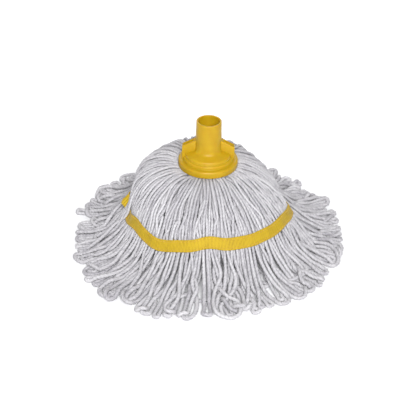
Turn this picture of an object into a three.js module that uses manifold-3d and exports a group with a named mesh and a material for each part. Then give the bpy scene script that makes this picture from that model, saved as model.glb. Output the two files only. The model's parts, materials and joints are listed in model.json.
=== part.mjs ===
// A string mop head of the socket kind, standing splayed on its yarn. A yellow plastic socket takes the
// handle, a snap-in plate clamps the folded yarn under the socket's flange, and a tape sewn through the
// yarn ties the loops together about half way down. Millimetres, +Z up. The origin is on the socket's
// axis, at floor height, and the frontmost yarn points to -Y.
import * as THREE from "three";
import { mergeVertices } from "three/addons/utils/BufferGeometryUtils.js";
import Module from "manifold-3d";

// Driving dimensions.
const GAP = 0.3; // kept between pieces that touch on the real object
const SEGMENTS = 48; // of a round plastic surface

const HANDLE_RADIUS = 11.75; // of the wooden handle that the bore takes
const BORE_TOP_RADIUS = HANDLE_RADIUS + 0.25;
const BORE_FOOT_RADIUS = HANDLE_RADIUS - 0.15;
const BORE_FOOT = 106.5; // height of the blind end of the bore
const TUBE_TOP = 156;
const TUBE_TOP_RADIUS = 14;
const TUBE_FOOT = 124;
const TUBE_FOOT_RADIUS = 15.3;

const FLANGE_RADIUS = 35;
const FLANGE_BOTTOM = 99;
const FLANGE_TOP = 107;
const SKIRT_WALL = 2;
const CEILING = 104; // underside of the flange, against which the yarn is clamped
const DISC_RADIUS = 29.4;
const DISC_TOP = 114.5;

const WING_REACH = 30.6;
const WING_TOP_OUTER = 123.5;
const WING_TOP_INNER = 131.5;
const WING_THICKNESS = 8.6;
const SLOT_WIDTH = 4.4;
const SLOT_INNER = 17.5;
const SLOT_OUTER = 29;
const LEDGE_RADIUS = 25.3; // the slot is this long below the ledge that the barb hooks on
const LEDGE_HEIGHT = 115.2;

const YARN_START = 33.2; // radius at which the yarn comes out from under the flange
const OUTER_LAYER_TOP = FLANGE_BOTTOM - 0.4; // the layers of yarn at that radius
const OUTER_LAYER_FOOT = 87.1;
const INNER_LAYER_FOOT = 81.1;
const PLATE_RADIUS = 30;
const PLATE_THICKNESS = 3;
const ARM_INNER = 18;
const ARM_OUTER = 24.8;
const BARB_REACH = 28.2;
const BARB_HEIGHT = LEDGE_HEIGHT + 4.2;

const OUTER_HANKS = 36;
const INNER_HANKS = 12;
const TAPE_WIDTH = 14.5;
const TAPE_THICKNESS = 0.8;
const TAPE_CLEARANCE = 0.7; // to the ridged surface of the yarn
const STITCH_INSET = 2.2; // from an edge of the tape to its row of stitches
const THREAD = 0.7;
const BAND_SEGMENTS = 80;

const yellowPlastic = { color: 0xe2ad1e, roughness: 0.42, metalness: 0 };
const cottonYarn = { color: 0xd6d3d8, roughness: 0.95, metalness: 0 };
const yellowTape = { color: 0xe3b62a, roughness: 0.85, metalness: 0 };
const yellowThread = { color: 0xd9a520, roughness: 0.7, metalness: 0 };

const wasm = await Module();
wasm.setup();

const mop = new THREE.Group();

function addMesh(name, geometry, look) {
  const mesh = new THREE.Mesh(geometry, new THREE.MeshStandardMaterial(look));
  mesh.name = name;
  mop.add(mesh);
}

// A solid for joining and cutting, from a closed geometry.
function toSolid(geometry) {
  const bare = geometry.clone();
  bare.deleteAttribute("normal");
  bare.deleteAttribute("uv");
  const merged = mergeVertices(bare, 1e-4);
  return new wasm.Manifold(
    new wasm.Mesh({
      numProp: 3,
      vertProperties: new Float32Array(merged.attributes.position.array),
      triVerts: new Uint32Array(merged.index.array),
    }),
  );
}

function toGeometry(solid) {
  const { vertProperties, triVerts } = solid.getMesh();
  const geometry = new THREE.BufferGeometry();
  geometry.setAttribute("position", new THREE.Float32BufferAttribute(vertProperties, 3));
  geometry.setIndex([...triVerts]);
  return geometry;
}

// A body of revolution about +Z. The [radius, height] profile runs counterclockwise.
function turned(profile) {
  const points = profile.map(([radius, height]) => new THREE.Vector2(radius, height));
  return new THREE.LatheGeometry(points, SEGMENTS).rotateX(Math.PI / 2);
}

// A plate of the given outline in the XZ plane, centred on y = 0.
function upright(outline, thickness) {
  const shape = new THREE.Shape(outline.map(([x, z]) => new THREE.Vector2(x, z)));
  const geometry = new THREE.ExtrudeGeometry(shape, { depth: thickness, bevelEnabled: false });
  return geometry.translate(0, 0, -thickness / 2).rotateX(Math.PI / 2);
}

function box(x0, x1, width, z0, z1) {
  return new THREE.BoxGeometry(x1 - x0, width, z1 - z0).translate((x0 + x1) / 2, 0, (z0 + z1) / 2);
}

// The piece and its copy turned half round the axis.
function withOpposite(geometry) {
  const solid = toSolid(geometry);
  return solid.add(toSolid(geometry.clone().rotateZ(Math.PI)));
}

// Socket: one moulding of tube, coned disc, flange and two slotted wings, open at the top for the handle.
function socketGeometry() {
  const body = toSolid(
    turned([
      [0, CEILING],
      [FLANGE_RADIUS - SKIRT_WALL, CEILING],
      [FLANGE_RADIUS - SKIRT_WALL, FLANGE_BOTTOM],
      [FLANGE_RADIUS, FLANGE_BOTTOM],
      [FLANGE_RADIUS, FLANGE_TOP - 1.8],
      [FLANGE_RADIUS - 0.5, FLANGE_TOP - 0.5],
      [FLANGE_RADIUS - 1.8, FLANGE_TOP],
      [DISC_RADIUS, FLANGE_TOP],
      [DISC_RADIUS - 0.3, DISC_TOP - 2],
      [DISC_RADIUS - 1.1, DISC_TOP - 0.6],
      [DISC_RADIUS - 2.6, DISC_TOP],
      [TUBE_FOOT_RADIUS + 2.2, DISC_TOP + 4.2],
      [TUBE_FOOT_RADIUS + 0.6, DISC_TOP + 6.2],
      [TUBE_FOOT_RADIUS, TUBE_FOOT],
      [TUBE_TOP_RADIUS, TUBE_TOP],
      [0, TUBE_TOP],
    ]),
  );
  const wings = withOpposite(
    upright(
      [
        [BORE_TOP_RADIUS, FLANGE_TOP - 1],
        [WING_REACH, FLANGE_TOP - 1],
        [WING_REACH, WING_TOP_OUTER],
        [TUBE_FOOT_RADIUS, WING_TOP_INNER],
        [BORE_TOP_RADIUS, WING_TOP_INNER],
      ],
      WING_THICKNESS,
    ),
  );
  const bore = toSolid(
    turned([
      [0, BORE_FOOT],
      [BORE_FOOT_RADIUS, BORE_FOOT],
      [BORE_TOP_RADIUS, TUBE_TOP],
      [BORE_TOP_RADIUS, TUBE_TOP + 5],
      [0, TUBE_TOP + 5],
    ]),
  );
  const slots = withOpposite(box(SLOT_INNER, SLOT_OUTER, SLOT_WIDTH, LEDGE_HEIGHT, WING_TOP_INNER + 5));
  const throats = withOpposite(box(SLOT_INNER, LEDGE_RADIUS, SLOT_WIDTH, FLANGE_BOTTOM, LEDGE_HEIGHT + 1));
  return toGeometry(body.add(wings).subtract(bore).subtract(slots).subtract(throats));
}

// Clamp plate: a disc under the yarn, with two arms whose barbs hook over the ledges in the wings.
function clampPlateGeometry() {
  const top = INNER_LAYER_FOOT - GAP;
  const armWidth = SLOT_WIDTH - 2 * GAP;
  const plate = toSolid(
    turned([
      [0, top - PLATE_THICKNESS],
      [PLATE_RADIUS - 1, top - PLATE_THICKNESS],
      [PLATE_RADIUS, top - PLATE_THICKNESS + 1],
      [PLATE_RADIUS, top],
      [0, top],
    ]),
  );
  const arms = withOpposite(
    upright(
      [
        [ARM_INNER, top - 1],
        [ARM_OUTER, top - 1],
        [ARM_OUTER, LEDGE_HEIGHT + GAP],
        [BARB_REACH, LEDGE_HEIGHT + GAP],
        [ARM_OUTER - 2, BARB_HEIGHT],
        [ARM_INNER, BARB_HEIGHT],
      ],
      armWidth,
    ),
  );
  return toGeometry(plate.add(arms));
}

// Yarn crown: the folded middles of all the strands, packed between the ceiling and the plate.
function yarnCrownGeometry() {
  const radius = YARN_START - 1.4;
  const crown = toSolid(
    turned([
      [0, INNER_LAYER_FOOT],
      [radius, INNER_LAYER_FOOT],
      [radius, CEILING - GAP],
      [0, CEILING - GAP],
    ]),
  );
  const armHoles = withOpposite(box(ARM_INNER - 1, ARM_OUTER + 1, SLOT_WIDTH + 1, 70, 110));
  return toGeometry(crown.subtract(armHoles));
}

// The yarn's upper surface runs outwards from the flange as [radius, height] stations. On the straight
// side it falls as a cone; on the bulging side it leaves the flange level and drops late. Both meet the
// tape at the same station.
const STRAIGHT_FALL = [
  [YARN_START, OUTER_LAYER_TOP],
  [FLANGE_RADIUS + 1, OUTER_LAYER_TOP - 0.3],
  [47, 94],
  [61, 87],
  [74, 78],
  [84, 69],
  [92, 60],
  [98, 50],
  [106, 36],
  [119, 21],
];
const BULGING_FALL = [
  [YARN_START, OUTER_LAYER_TOP],
  [FLANGE_RADIUS + 1, OUTER_LAYER_TOP],
  [46, 100.5],
  [59, 99.5],
  [72, 94],
  [83.5, 84],
  [91.5, 69],
  [96.5, 51],
  [103, 36],
  [116, 21],
];
const OUTER_THICKNESS = [OUTER_LAYER_TOP - OUTER_LAYER_FOOT, 11.5, 10.5, 9.5, 8.5, 7.5, 6.8, 6, 5.6, 5.6];
const TAPE_STATION = 7;
const SAG = 13; // how much lower the tape hangs at the front left
const SAG_SHARES = [0, 0, 0, 0.1, 0.3, 0.6, 0.85, 1, 0.75, 0.35];
const LYING_HEIGHTS = [11, 8, 4]; // the last stations lie on the floor
const LYING_SHARES = [0.35, 0.75, 1]; // and share out the rest of the way to the tips
const REACHES = [162, 168, 165, 170, 165, 165, 158, 164, 171, 171, 165, 167]; // of the tips, every 30 degrees
const INNER_FALL = [
  [YARN_START, OUTER_LAYER_FOOT - 0.5],
  [41, 78],
  [50, 65],
  [60, 50],
  [71, 34],
  [84, 19],
  [98, 9.5],
  [110, 5.5],
  [118, 4],
];
const INNER_THICKNESS = [5.5, 5.5, 5.5, 5.5, 5.5, 5.5, 6, 6, 5];

// How far the yarn bulges, from 0 on the right (+X) to 1 on the left and at the back.
function bulge(azimuth) {
  const fromRight = (1 - Math.cos(azimuth + THREE.MathUtils.degToRad(20))) / 2;
  return THREE.MathUtils.smoothstep(fromRight, 0.02, 0.72);
}

// How far the yarn hangs low at the front left, from 0 to 1.
function sag(azimuth) {
  const degrees = THREE.MathUtils.euclideanModulo(THREE.MathUtils.radToDeg(azimuth), 360);
  return Math.exp(-(((degrees - 235) / 20) ** 2));
}

// How far the yarn reaches over the floor, with longer and shorter hanks.
function reach(azimuth, index) {
  const place = (azimuth / (2 * Math.PI)) * REACHES.length;
  const first = Math.floor(place) % REACHES.length;
  const second = (first + 1) % REACHES.length;
  const uneven = 2.5 * Math.sin(index * 2.4);
  return THREE.MathUtils.lerp(REACHES[first], REACHES[second], place % 1) + uneven;
}

function outerStations(azimuth, tipRadius) {
  const share = bulge(azimuth);
  const low = SAG * sag(azimuth);
  const stations = STRAIGHT_FALL.map(([radius, height], i) => ({
    radius: THREE.MathUtils.lerp(radius, BULGING_FALL[i][0], share) + 0.2 * low * SAG_SHARES[i],
    height: THREE.MathUtils.lerp(height, BULGING_FALL[i][1], share) - low * SAG_SHARES[i],
    thickness: OUTER_THICKNESS[i],
    width: 1,
  }));
  const last = stations[stations.length - 1].radius;
  LYING_HEIGHTS.forEach((height, i) => {
    stations.push({
      radius: THREE.MathUtils.lerp(last, tipRadius, LYING_SHARES[i]),
      height,
      thickness: height + 1,
      width: i === LYING_HEIGHTS.length - 1 ? 0.7 : 1,
    });
  });
  return stations;
}

function innerStations() {
  return INNER_FALL.map(([radius, height], i) => ({
    radius,
    height,
    thickness: INNER_THICKNESS[i],
    width: i === INNER_FALL.length - 1 ? 0.7 : 1,
  }));
}

// The unit normal of the surface at a station, pointing up and out. The first two sections, at the
// clamp, stand upright.
function stationNormal(stations, i) {
  if (i < 2) {
    return new THREE.Vector2(0, 1);
  }
  const before = stations[i - 1];
  const after = stations[Math.min(i + 1, stations.length - 1)];
  return new THREE.Vector2(before.height - after.height, after.radius - before.radius).normalize();
}

// A closed body through rings of points. Open bodies end in caps; a loop joins its last ring to its first.
function lofted(rings, loop) {
  const sides = rings[0].length;
  const positions = rings.flat().flatMap((point) => point.toArray());
  const triangles = [];
  const spans = loop ? rings.length : rings.length - 1;
  for (let i = 0; i < spans; i += 1) {
    const ring = i * sides;
    const next = ((i + 1) % rings.length) * sides;
    for (let k = 0; k < sides; k += 1) {
      const side = (k + 1) % sides;
      triangles.push(ring + k, ring + side, next + side, ring + k, next + side, next + k);
    }
  }
  if (!loop) {
    const end = (rings.length - 1) * sides;
    for (let k = 1; k < sides - 1; k += 1) {
      triangles.push(0, k + 1, k, end, end + k, end + k + 1);
    }
  }
  const geometry = new THREE.BufferGeometry();
  geometry.setAttribute("position", new THREE.Float32BufferAttribute(positions, 3));
  geometry.setIndex(triangles);
  return geometry;
}

// Corners of a hank's section, as shares of its half width and of its depth below the upper surface.
const SECTION = [
  [-0.66, 1],
  [0.66, 1],
  [1, 0.72],
  [1, 0.28],
  [0.66, 0],
  [-0.66, 0],
  [-1, 0.28],
  [-1, 0.72],
];

// A hank fills one sector of the yarn: its sections follow the stations, and its underside ends flat on
// the floor.
function hankGeometry(stations, azimuth, sector) {
  const rings = stations.map((station, i) => {
    const normal = stationNormal(stations, i);
    const halfAngle = (sector / 2 - GAP / 2 / station.radius) * station.width;
    return SECTION.map(([side, depth]) => {
      const down = depth * station.thickness;
      const radius = station.radius - normal.x * down;
      const height = Math.max(station.height - normal.y * down, depth < 1 ? 0.8 : 0);
      const angle = azimuth + side * halfAngle;
      return new THREE.Vector3(radius * Math.cos(angle), radius * Math.sin(angle), height);
    });
  });
  return lofted(rings, false);
}

// A point on the yarn near the tape: along is the distance towards the tips from the middle of the tape,
// and away is the height above the upper surface, or below the lower one where it is negative.
function besideYarn(stations, along, away) {
  const surface = stations.map((station, i) => {
    const normal = stationNormal(stations, i);
    const depth = away < 0 ? station.thickness : 0;
    return new THREE.Vector2(station.radius - normal.x * depth, station.height - normal.y * depth);
  });
  const middle = surface[TAPE_STATION];
  const normal = stationNormal(stations, TAPE_STATION);
  if (along !== 0) {
    const direction = surface[TAPE_STATION + Math.sign(along)].clone().sub(middle).normalize();
    const facing = new THREE.Vector2(-direction.y, direction.x).multiplyScalar(Math.sign(along));
    return middle.clone().addScaledVector(direction, Math.abs(along)).addScaledVector(facing, away);
  }
  return middle.clone().addScaledVector(normal, away);
}

// A band round the mop, through [along, away] corners of its section.
function bandGeometry(corners) {
  const rings = [];
  for (let i = 0; i < BAND_SEGMENTS; i += 1) {
    const azimuth = (i / BAND_SEGMENTS) * 2 * Math.PI;
    const stations = outerStations(azimuth, FLANGE_RADIUS * 4.5);
    rings.push(
      corners.map(([along, away]) => {
        const point = besideYarn(stations, along, away);
        return new THREE.Vector3(point.x * Math.cos(azimuth), point.x * Math.sin(azimuth), point.y);
      }),
    );
  }
  return lofted(rings, true);
}

function tapeGeometry(near, far) {
  const half = TAPE_WIDTH / 2;
  return bandGeometry([
    [-half, near],
    [-half, far],
    [0, far],
    [half, far],
    [half, near],
    [0, near],
  ]);
}

function stitchGeometry(along) {
  const low = TAPE_CLEARANCE + TAPE_THICKNESS + GAP;
  return bandGeometry([
    [along - THREAD / 2, low],
    [along - THREAD / 2, low + THREAD],
    [along + THREAD / 2, low + THREAD],
    [along + THREAD / 2, low],
  ]);
}

addMesh("socket", socketGeometry(), yellowPlastic);
addMesh("clamp_plate", clampPlateGeometry(), yellowPlastic);
addMesh("yarn_crown", yarnCrownGeometry(), cottonYarn);
addMesh("tape_outer", tapeGeometry(TAPE_CLEARANCE, TAPE_CLEARANCE + TAPE_THICKNESS), yellowTape);
addMesh("tape_inner", tapeGeometry(-TAPE_CLEARANCE - TAPE_THICKNESS, -TAPE_CLEARANCE), yellowTape);
addMesh("stitch_row_upper", stitchGeometry(STITCH_INSET - TAPE_WIDTH / 2), yellowThread);
addMesh("stitch_row_lower", stitchGeometry(TAPE_WIDTH / 2 - STITCH_INSET), yellowThread);

for (let i = 0; i < OUTER_HANKS; i += 1) {
  const sector = (2 * Math.PI) / OUTER_HANKS;
  const azimuth = i * sector;
  const name = `yarn_hank_${String(i + 1).padStart(2, "0")}`;
  addMesh(name, hankGeometry(outerStations(azimuth, reach(azimuth, i)), azimuth, sector), cottonYarn);
}

for (let i = 0; i < INNER_HANKS; i += 1) {
  const sector = (2 * Math.PI) / INNER_HANKS;
  const name = `inner_hank_${String(i + 1).padStart(2, "0")}`;
  addMesh(name, hankGeometry(innerStations(), i * sector, sector), cottonYarn);
}

export default mop;
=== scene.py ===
import json

import bmesh
import bpy
import numpy as np
from mathutils import Matrix, Vector

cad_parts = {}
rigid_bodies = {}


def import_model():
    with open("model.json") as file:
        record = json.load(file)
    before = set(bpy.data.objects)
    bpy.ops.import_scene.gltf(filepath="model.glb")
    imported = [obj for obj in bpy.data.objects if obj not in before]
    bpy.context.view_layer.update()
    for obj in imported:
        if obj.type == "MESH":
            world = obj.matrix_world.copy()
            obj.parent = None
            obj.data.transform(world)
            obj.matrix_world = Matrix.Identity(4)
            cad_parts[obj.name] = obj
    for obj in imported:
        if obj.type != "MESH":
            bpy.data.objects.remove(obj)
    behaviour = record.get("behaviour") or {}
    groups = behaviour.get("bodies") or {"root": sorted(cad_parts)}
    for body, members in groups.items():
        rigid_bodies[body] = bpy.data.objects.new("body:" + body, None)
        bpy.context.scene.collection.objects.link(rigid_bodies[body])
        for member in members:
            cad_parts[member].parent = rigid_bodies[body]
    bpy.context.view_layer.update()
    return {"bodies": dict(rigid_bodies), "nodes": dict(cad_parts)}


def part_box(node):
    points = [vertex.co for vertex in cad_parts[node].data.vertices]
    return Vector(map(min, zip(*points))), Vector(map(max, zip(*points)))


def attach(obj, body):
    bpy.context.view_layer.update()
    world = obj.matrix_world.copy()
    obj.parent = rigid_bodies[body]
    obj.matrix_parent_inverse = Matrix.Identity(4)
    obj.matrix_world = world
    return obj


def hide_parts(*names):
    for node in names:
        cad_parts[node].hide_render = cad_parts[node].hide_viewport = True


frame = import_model()
root = next(iter(frame["bodies"]))
MM = 0.001

# --- View -------------------------------------------------------------------------------------------
# A long lens looks down on the mop from the front, turned a little about its own axis because the
# head leans to the right as it stands.
VIEW_HEIGHT = 34  # degrees over the floor
VIEW_DISTANCE = 1.25
VIEW_TURN = 1.6  # degrees
LENS = 88.3
SENSOR_WIDTH = 36
AIM = Vector((3.9, 0, 32.7)) * MM

tilt = np.radians(VIEW_HEIGHT)
back = Vector((0, -np.cos(tilt), np.sin(tilt)))
right = Vector((1, 0, 0))
up = back.cross(right)
turn = np.radians(VIEW_TURN)
turned_right = right * np.cos(turn) + up * np.sin(turn)
turned_up = up * np.cos(turn) - right * np.sin(turn)
camera = bpy.data.objects.new("camera", bpy.data.cameras.new("camera"))
camera.data.lens = LENS
camera.data.sensor_width = SENSOR_WIDTH
bpy.context.collection.objects.link(camera)
camera.matrix_world = Matrix.Translation(AIM + back * VIEW_DISTANCE) @ Matrix(
    (turned_right, turned_up, back)
).transposed().to_4x4()
bpy.context.scene.camera = camera

# --- Studio -----------------------------------------------------------------------------------------
# A plain pale sweep under a sky that is brighter overhead than at the horizon, with one softbox in front,
# a little above the camera, so that the yarn is lit softly and its gaps and far sides stay dark. A weak
# one fills in from behind, and a third lights only the sweep beyond the mop.
LAMPS = {
    # name: (place, the point it faces, watts, width)
    "softbox": ((0.1, -1.7, 1.35), (0, 0, 0.03), 62, 0.8),
    "back_softbox": ((0, 2.0, 0.9), (0, 0, 0.03), 9, 1.2),
    "sweep_softbox": ((0, 0.35, 0.95), (0, 1.35, 0.62), 12, 1.4),
}
SKY_AT_HORIZON = 0.32
SKY_OVERHEAD = 0.58

scene = bpy.context.scene
scene.view_settings.view_transform = "Standard"
for name, (place, faced, watts, width) in LAMPS.items():
    lamp = bpy.data.objects.new(name, bpy.data.lights.new(name, "AREA"))
    lamp.data.energy = watts
    lamp.data.size = width
    lamp.location = place
    lamp.rotation_euler = (Vector(place) - Vector(faced)).to_track_quat("Z", "Y").to_euler()
    bpy.context.collection.objects.link(lamp)


def linear(hex_colour):
    """An sRGB hex colour as linear RGBA: c / 12.92 below 0.04045, else ((c + 0.055) / 1.055) ** 2.4."""
    c = np.array([int(hex_colour[i : i + 2], 16) for i in (1, 3, 5)]) / 255
    return (*np.where(c <= 0.04045, c / 12.92, ((c + 0.055) / 1.055) ** 2.4), 1)


def connect(tree, target, **sockets):
    """Set a node's inputs to values, or link outputs to them. An input is named, with _ for each space,
    or numbered as in_2."""
    for key, value in sockets.items():
        socket = target.inputs[int(key[3:]) if key.startswith("in_") else key.replace("_", " ")]
        if isinstance(value, bpy.types.NodeSocket):
            tree.links.new(value, socket)
        else:
            socket.default_value = value


def node(tree, kind, settings=None, **sockets):
    """Add a node: settings are its own properties (for a ramp also its stops, as positions and hex
    colours), and sockets are what its inputs are set or linked to."""
    new = tree.nodes.new("ShaderNode" + kind)
    for key, value in (settings or {}).items():
        if key == "stops":
            for spare in range(len(value) - 2):
                new.color_ramp.elements.new(0.5)
            for element, (position, colour) in zip(new.color_ramp.elements, value):
                element.position, element.color = position, linear(colour)
        else:
            setattr(new, key, value)
    connect(tree, new, **sockets)
    return new


def new_material(name):
    """An empty node material: (material, its tree, its principled shader)."""
    material = bpy.data.materials.new(name)
    material.use_nodes = True
    tree = material.node_tree
    return material, tree, tree.nodes["Principled BSDF"]


def piece(name, points, faces, material, body=root):
    """A mesh object from points and faces, smooth shaded, riding on a body."""
    mesh = bpy.data.meshes.new(name)
    mesh.from_pydata(np.asarray(points).reshape(-1, 3).tolist(), [], faces)
    mesh.materials.append(material)
    mesh.shade_smooth()
    made = bpy.data.objects.new(name, mesh)
    bpy.context.collection.objects.link(made)
    if body:
        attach(made, body)
    return made


world = bpy.data.worlds.new("studio")
world.use_nodes = True
tree = world.node_tree
upward = node(tree, "SeparateXYZ", Vector=node(tree, "TexCoord").outputs["Generated"]).outputs["Z"]
sky = node(tree, "MapRange", Value=upward, To_Min=SKY_AT_HORIZON, To_Max=SKY_OVERHEAD)
connect(tree, tree.nodes["Background"], Color=(1, 1, 1, 1), Strength=sky.outputs["Result"])
scene.world = world

# The sweep is painted board: nearly white and quite matt, so that it shows no lamp.
FLOOR_SIZE = 12.0
FLOOR_WHITE = "#e8e8ea"
floor_paint, tree, shader = new_material("matt_white_sweep")
connect(tree, shader, Base_Color=linear(FLOOR_WHITE), Roughness=0.9)
half = FLOOR_SIZE / 2
floor = piece(
    "floor", [(-half, -half, 0), (half, -half, 0), (half, half, 0), (-half, half, 0)],
    [(0, 1, 2, 3)], floor_paint, body=None,
)

# --- Socket -----------------------------------------------------------------------------------------
# One injection moulding in polypropylene: a slightly tapered tube for the handle, a coned disc, a round
# flange with a short skirt, and two slotted wings whose ledges the clamp plate's barbs hook over.
socket_low, socket_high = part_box("socket")
socket_low = np.array(socket_low)
FLANGE_RADIUS = (socket_high[0] - socket_low[0]) / 2
FLANGE_BOTTOM = socket_low[2]
FLANGE_TOP = FLANGE_BOTTOM + 8 * MM
SKIRT_WALL = 2 * MM
DISC_RADIUS = (29.6 * MM, 29.4 * MM)  # at the flange and at the first step
CONE_RADIUS = (27 * MM, 26.6 * MM)  # above the first step and at the cone's edge
TUBE_TOP = socket_high[2]
CEILING = FLANGE_BOTTOM + 5 * MM
DISC_TOP = FLANGE_TOP + 7.5 * MM
BORE_FOOT = FLANGE_BOTTOM + 7.5 * MM
BORE_RADIUS = (12.4 * MM, 11.9 * MM)  # at the mouth and at the blind end
TUBE_RADIUS = (14.6 * MM, 15.4 * MM)  # at the mouth and at the foot
WING_WIDTH = 8.6 * MM
WING_START = 13 * MM
WING_REACH = 30.6 * MM
WING_HEIGHT = (24.5 * MM, 32.9 * MM)  # over the flange's bottom, at the outer end and at the tube
WING_SUNK = 1 * MM  # how far it goes into the disc and the tube
WING_ROUNDING = 0.55 * MM
SLOT_WIDTH = 4.4 * MM
SLOT = (17.5 * MM, 29 * MM)
THROAT_END = 25.3 * MM
LEDGE = FLANGE_BOTTOM + 16.2 * MM
CUT_ABOVE = 30 * MM  # how far the cut for a slot goes on upwards, out of the wing
CUT_BELOW = 5 * MM  # and downwards, out of the flange
TURN_STEPS = 128


def rounded(corners, steps=6):
    """Points of an outline whose corners (x, y, rounding) are quadratic curves: the curve leaves each
    side at the rounding distance from the corner, and (1-t)^2 A + 2t(1-t) corner + t^2 B joins them."""
    points = np.array([c[:2] for c in corners], float)
    out = [points[:1]]
    t = np.linspace(0, 1, steps)[:, None]
    for before, corner, after, (_, _, size) in zip(points, points[1:], points[2:], corners[1:-1]):
        to_before, to_after = before - corner, after - corner
        size_before = min(size, 0.45 * np.linalg.norm(to_before))
        size_after = min(size, 0.45 * np.linalg.norm(to_after))
        a = corner + to_before / np.linalg.norm(to_before) * size_before
        b = corner + to_after / np.linalg.norm(to_after) * size_after
        curve = (1 - t) ** 2 * a + 2 * t * (1 - t) * corner + t**2 * b
        out.append(curve if size > 0 else corner[None])
    out.append(points[-1:])
    return np.concatenate(out)


def grid_faces(rows, columns, wrap_rows=False, wrap_columns=False, first=0):
    """Quads (i, j) (i+1, j) (i+1, j+1) (i, j+1) over a grid of points numbered row by row."""
    i = np.arange(rows if wrap_rows else rows - 1)[:, None]
    j = np.arange(columns if wrap_columns else columns - 1)[None, :]
    below, beside = (i + 1) % rows, (j + 1) % columns
    quads = np.stack(
        np.broadcast_arrays(i * columns + j, below * columns + j, below * columns + beside,
                            i * columns + beside), -1,
    )
    return (quads.reshape(-1, 4) + first).tolist()


def turned_piece(name, profile, material):
    """Surface of revolution: (r cos a, r sin a, z) for each profile point (r, z) and angle a."""
    angle = np.linspace(0, 2 * np.pi, TURN_STEPS, endpoint=False)
    radius, height = profile[:, :1], profile[:, 1:]
    points = np.stack(
        [radius * np.cos(angle), radius * np.sin(angle), height + 0 * angle], -1
    )
    made = piece(name, points, grid_faces(len(profile), TURN_STEPS, wrap_columns=True), material, None)
    tidy_mesh(made)
    return made


def tidy_mesh(made, merge=1e-6):
    """Merge doubled points, drop faces with no area, and turn every face outwards."""
    work = bmesh.new()
    work.from_mesh(made.data)
    bmesh.ops.remove_doubles(work, verts=work.verts, dist=merge)
    bmesh.ops.dissolve_degenerate(work, dist=merge, edges=work.edges)
    bmesh.ops.recalc_face_normals(work, faces=work.faces)
    work.to_mesh(made.data)
    work.free()


def prism(name, outline, low, high, material):
    """A closed plate: the (x, z) outline at y = low and y = high, joined round its rim."""
    count = len(outline)
    sides = [np.stack([outline[:, 0], np.full(count, y), outline[:, 1]], -1) for y in (low, high)]
    faces = grid_faces(2, count, wrap_columns=True)
    faces += [tuple(range(count)), tuple(range(2 * count - 1, count - 1, -1))]
    made = piece(name, np.concatenate(sides), faces, material, None)
    tidy_mesh(made)
    return made


def apply_modifiers(made):
    """Replace a piece's mesh by its mesh with the modifiers worked out, and remove them."""
    graph = bpy.context.evaluated_depsgraph_get()
    made.data = bpy.data.meshes.new_from_object(made.evaluated_get(graph))
    made.modifiers.clear()


def combine(made, tools, operation):
    """Join the tools to a piece, or cut them from it, and delete them."""
    for tool in tools:
        step = made.modifiers.new(tool.name, "BOOLEAN")
        step.operation = operation
        step.solver = "EXACT"
        step.object = tool
    apply_modifiers(made)
    for tool in tools:
        bpy.data.objects.remove(tool)


# Moulded polypropylene: satin, slightly waxy, a little light goes in, and the mould's fine texture shows
# only as a soft break-up of the gloss. It yellows to orange where it only sees itself, in the bore.
YELLOW_PLASTIC = "#b19010"
YELLOW_PLASTIC_DEEP = "#aa880c"
MOULD_FLOW = 9 * MM  # width of the faint tone changes that the flow of the melt leaves
MOULD_GRAIN = 0.5 * MM  # the mould's fine grain, drawn a little coarser than it is so that it shows
GRAIN_DEPTH = 0.05 * MM
GLOW_DEPTH = 4 * MM  # how far light spreads inside the plastic

polypropylene, tree, shader = new_material("moulded_polypropylene")
place = node(tree, "TexCoord").outputs["Object"]
flow = node(tree, "TexNoise", Vector=place, Scale=1 / MOULD_FLOW, Detail=2.0, Roughness=0.5)
colour = node(tree, "ValToRGB", {"stops": ((0.3, YELLOW_PLASTIC_DEEP), (0.7, YELLOW_PLASTIC))},
              Fac=flow.outputs["Fac"])
grain = node(tree, "TexNoise", Vector=place, Scale=1 / MOULD_GRAIN, Detail=2.0, Roughness=0.6)
gloss = node(tree, "MapRange", Value=grain.outputs["Fac"], To_Min=0.36, To_Max=0.48)
bump = node(tree, "Bump", Height=grain.outputs["Fac"], Strength=0.12, Distance=GRAIN_DEPTH)
connect(
    tree, shader, Base_Color=colour.outputs["Color"], Roughness=gloss.outputs["Result"],
    Normal=bump.outputs["Normal"], IOR=1.49, Specular_IOR_Level=0.32, Subsurface_Weight=0.5,
    Subsurface_Radius=(1.0, 0.5, 0.1), Subsurface_Scale=GLOW_DEPTH,
)

# The half section, from the middle of the underside round to the bottom of the bore. Each corner is
# given as (radius, height, rounding).
profile = rounded([
    (0, CEILING, 0),
    (FLANGE_RADIUS - SKIRT_WALL, CEILING, 0.8 * MM),
    (FLANGE_RADIUS - SKIRT_WALL, FLANGE_BOTTOM, 0.5 * MM),
    (FLANGE_RADIUS, FLANGE_BOTTOM, 0.7 * MM),
    (FLANGE_RADIUS, FLANGE_TOP, 2.6 * MM),
    (DISC_RADIUS[0], FLANGE_TOP, 0.5 * MM),
    (DISC_RADIUS[1], DISC_TOP - 3.6 * MM, 1 * MM),
    (CONE_RADIUS[0], DISC_TOP - 3.2 * MM, 0.5 * MM),
    (CONE_RADIUS[1], DISC_TOP + 0.2 * MM, 1.6 * MM),
    (TUBE_RADIUS[1] + 1.4 * MM, DISC_TOP + 3.4 * MM, 2.4 * MM),
    (TUBE_RADIUS[1], DISC_TOP + 6.5 * MM, 2.4 * MM),
    (TUBE_RADIUS[0], TUBE_TOP, 0.7 * MM),
    (BORE_RADIUS[0], TUBE_TOP, 0.6 * MM),
    (BORE_RADIUS[1], BORE_FOOT, 1.5 * MM),
    (0, BORE_FOOT, 0),
])
socket = turned_piece("socket_moulding", profile, polypropylene)
wings, slots = [], []
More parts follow.
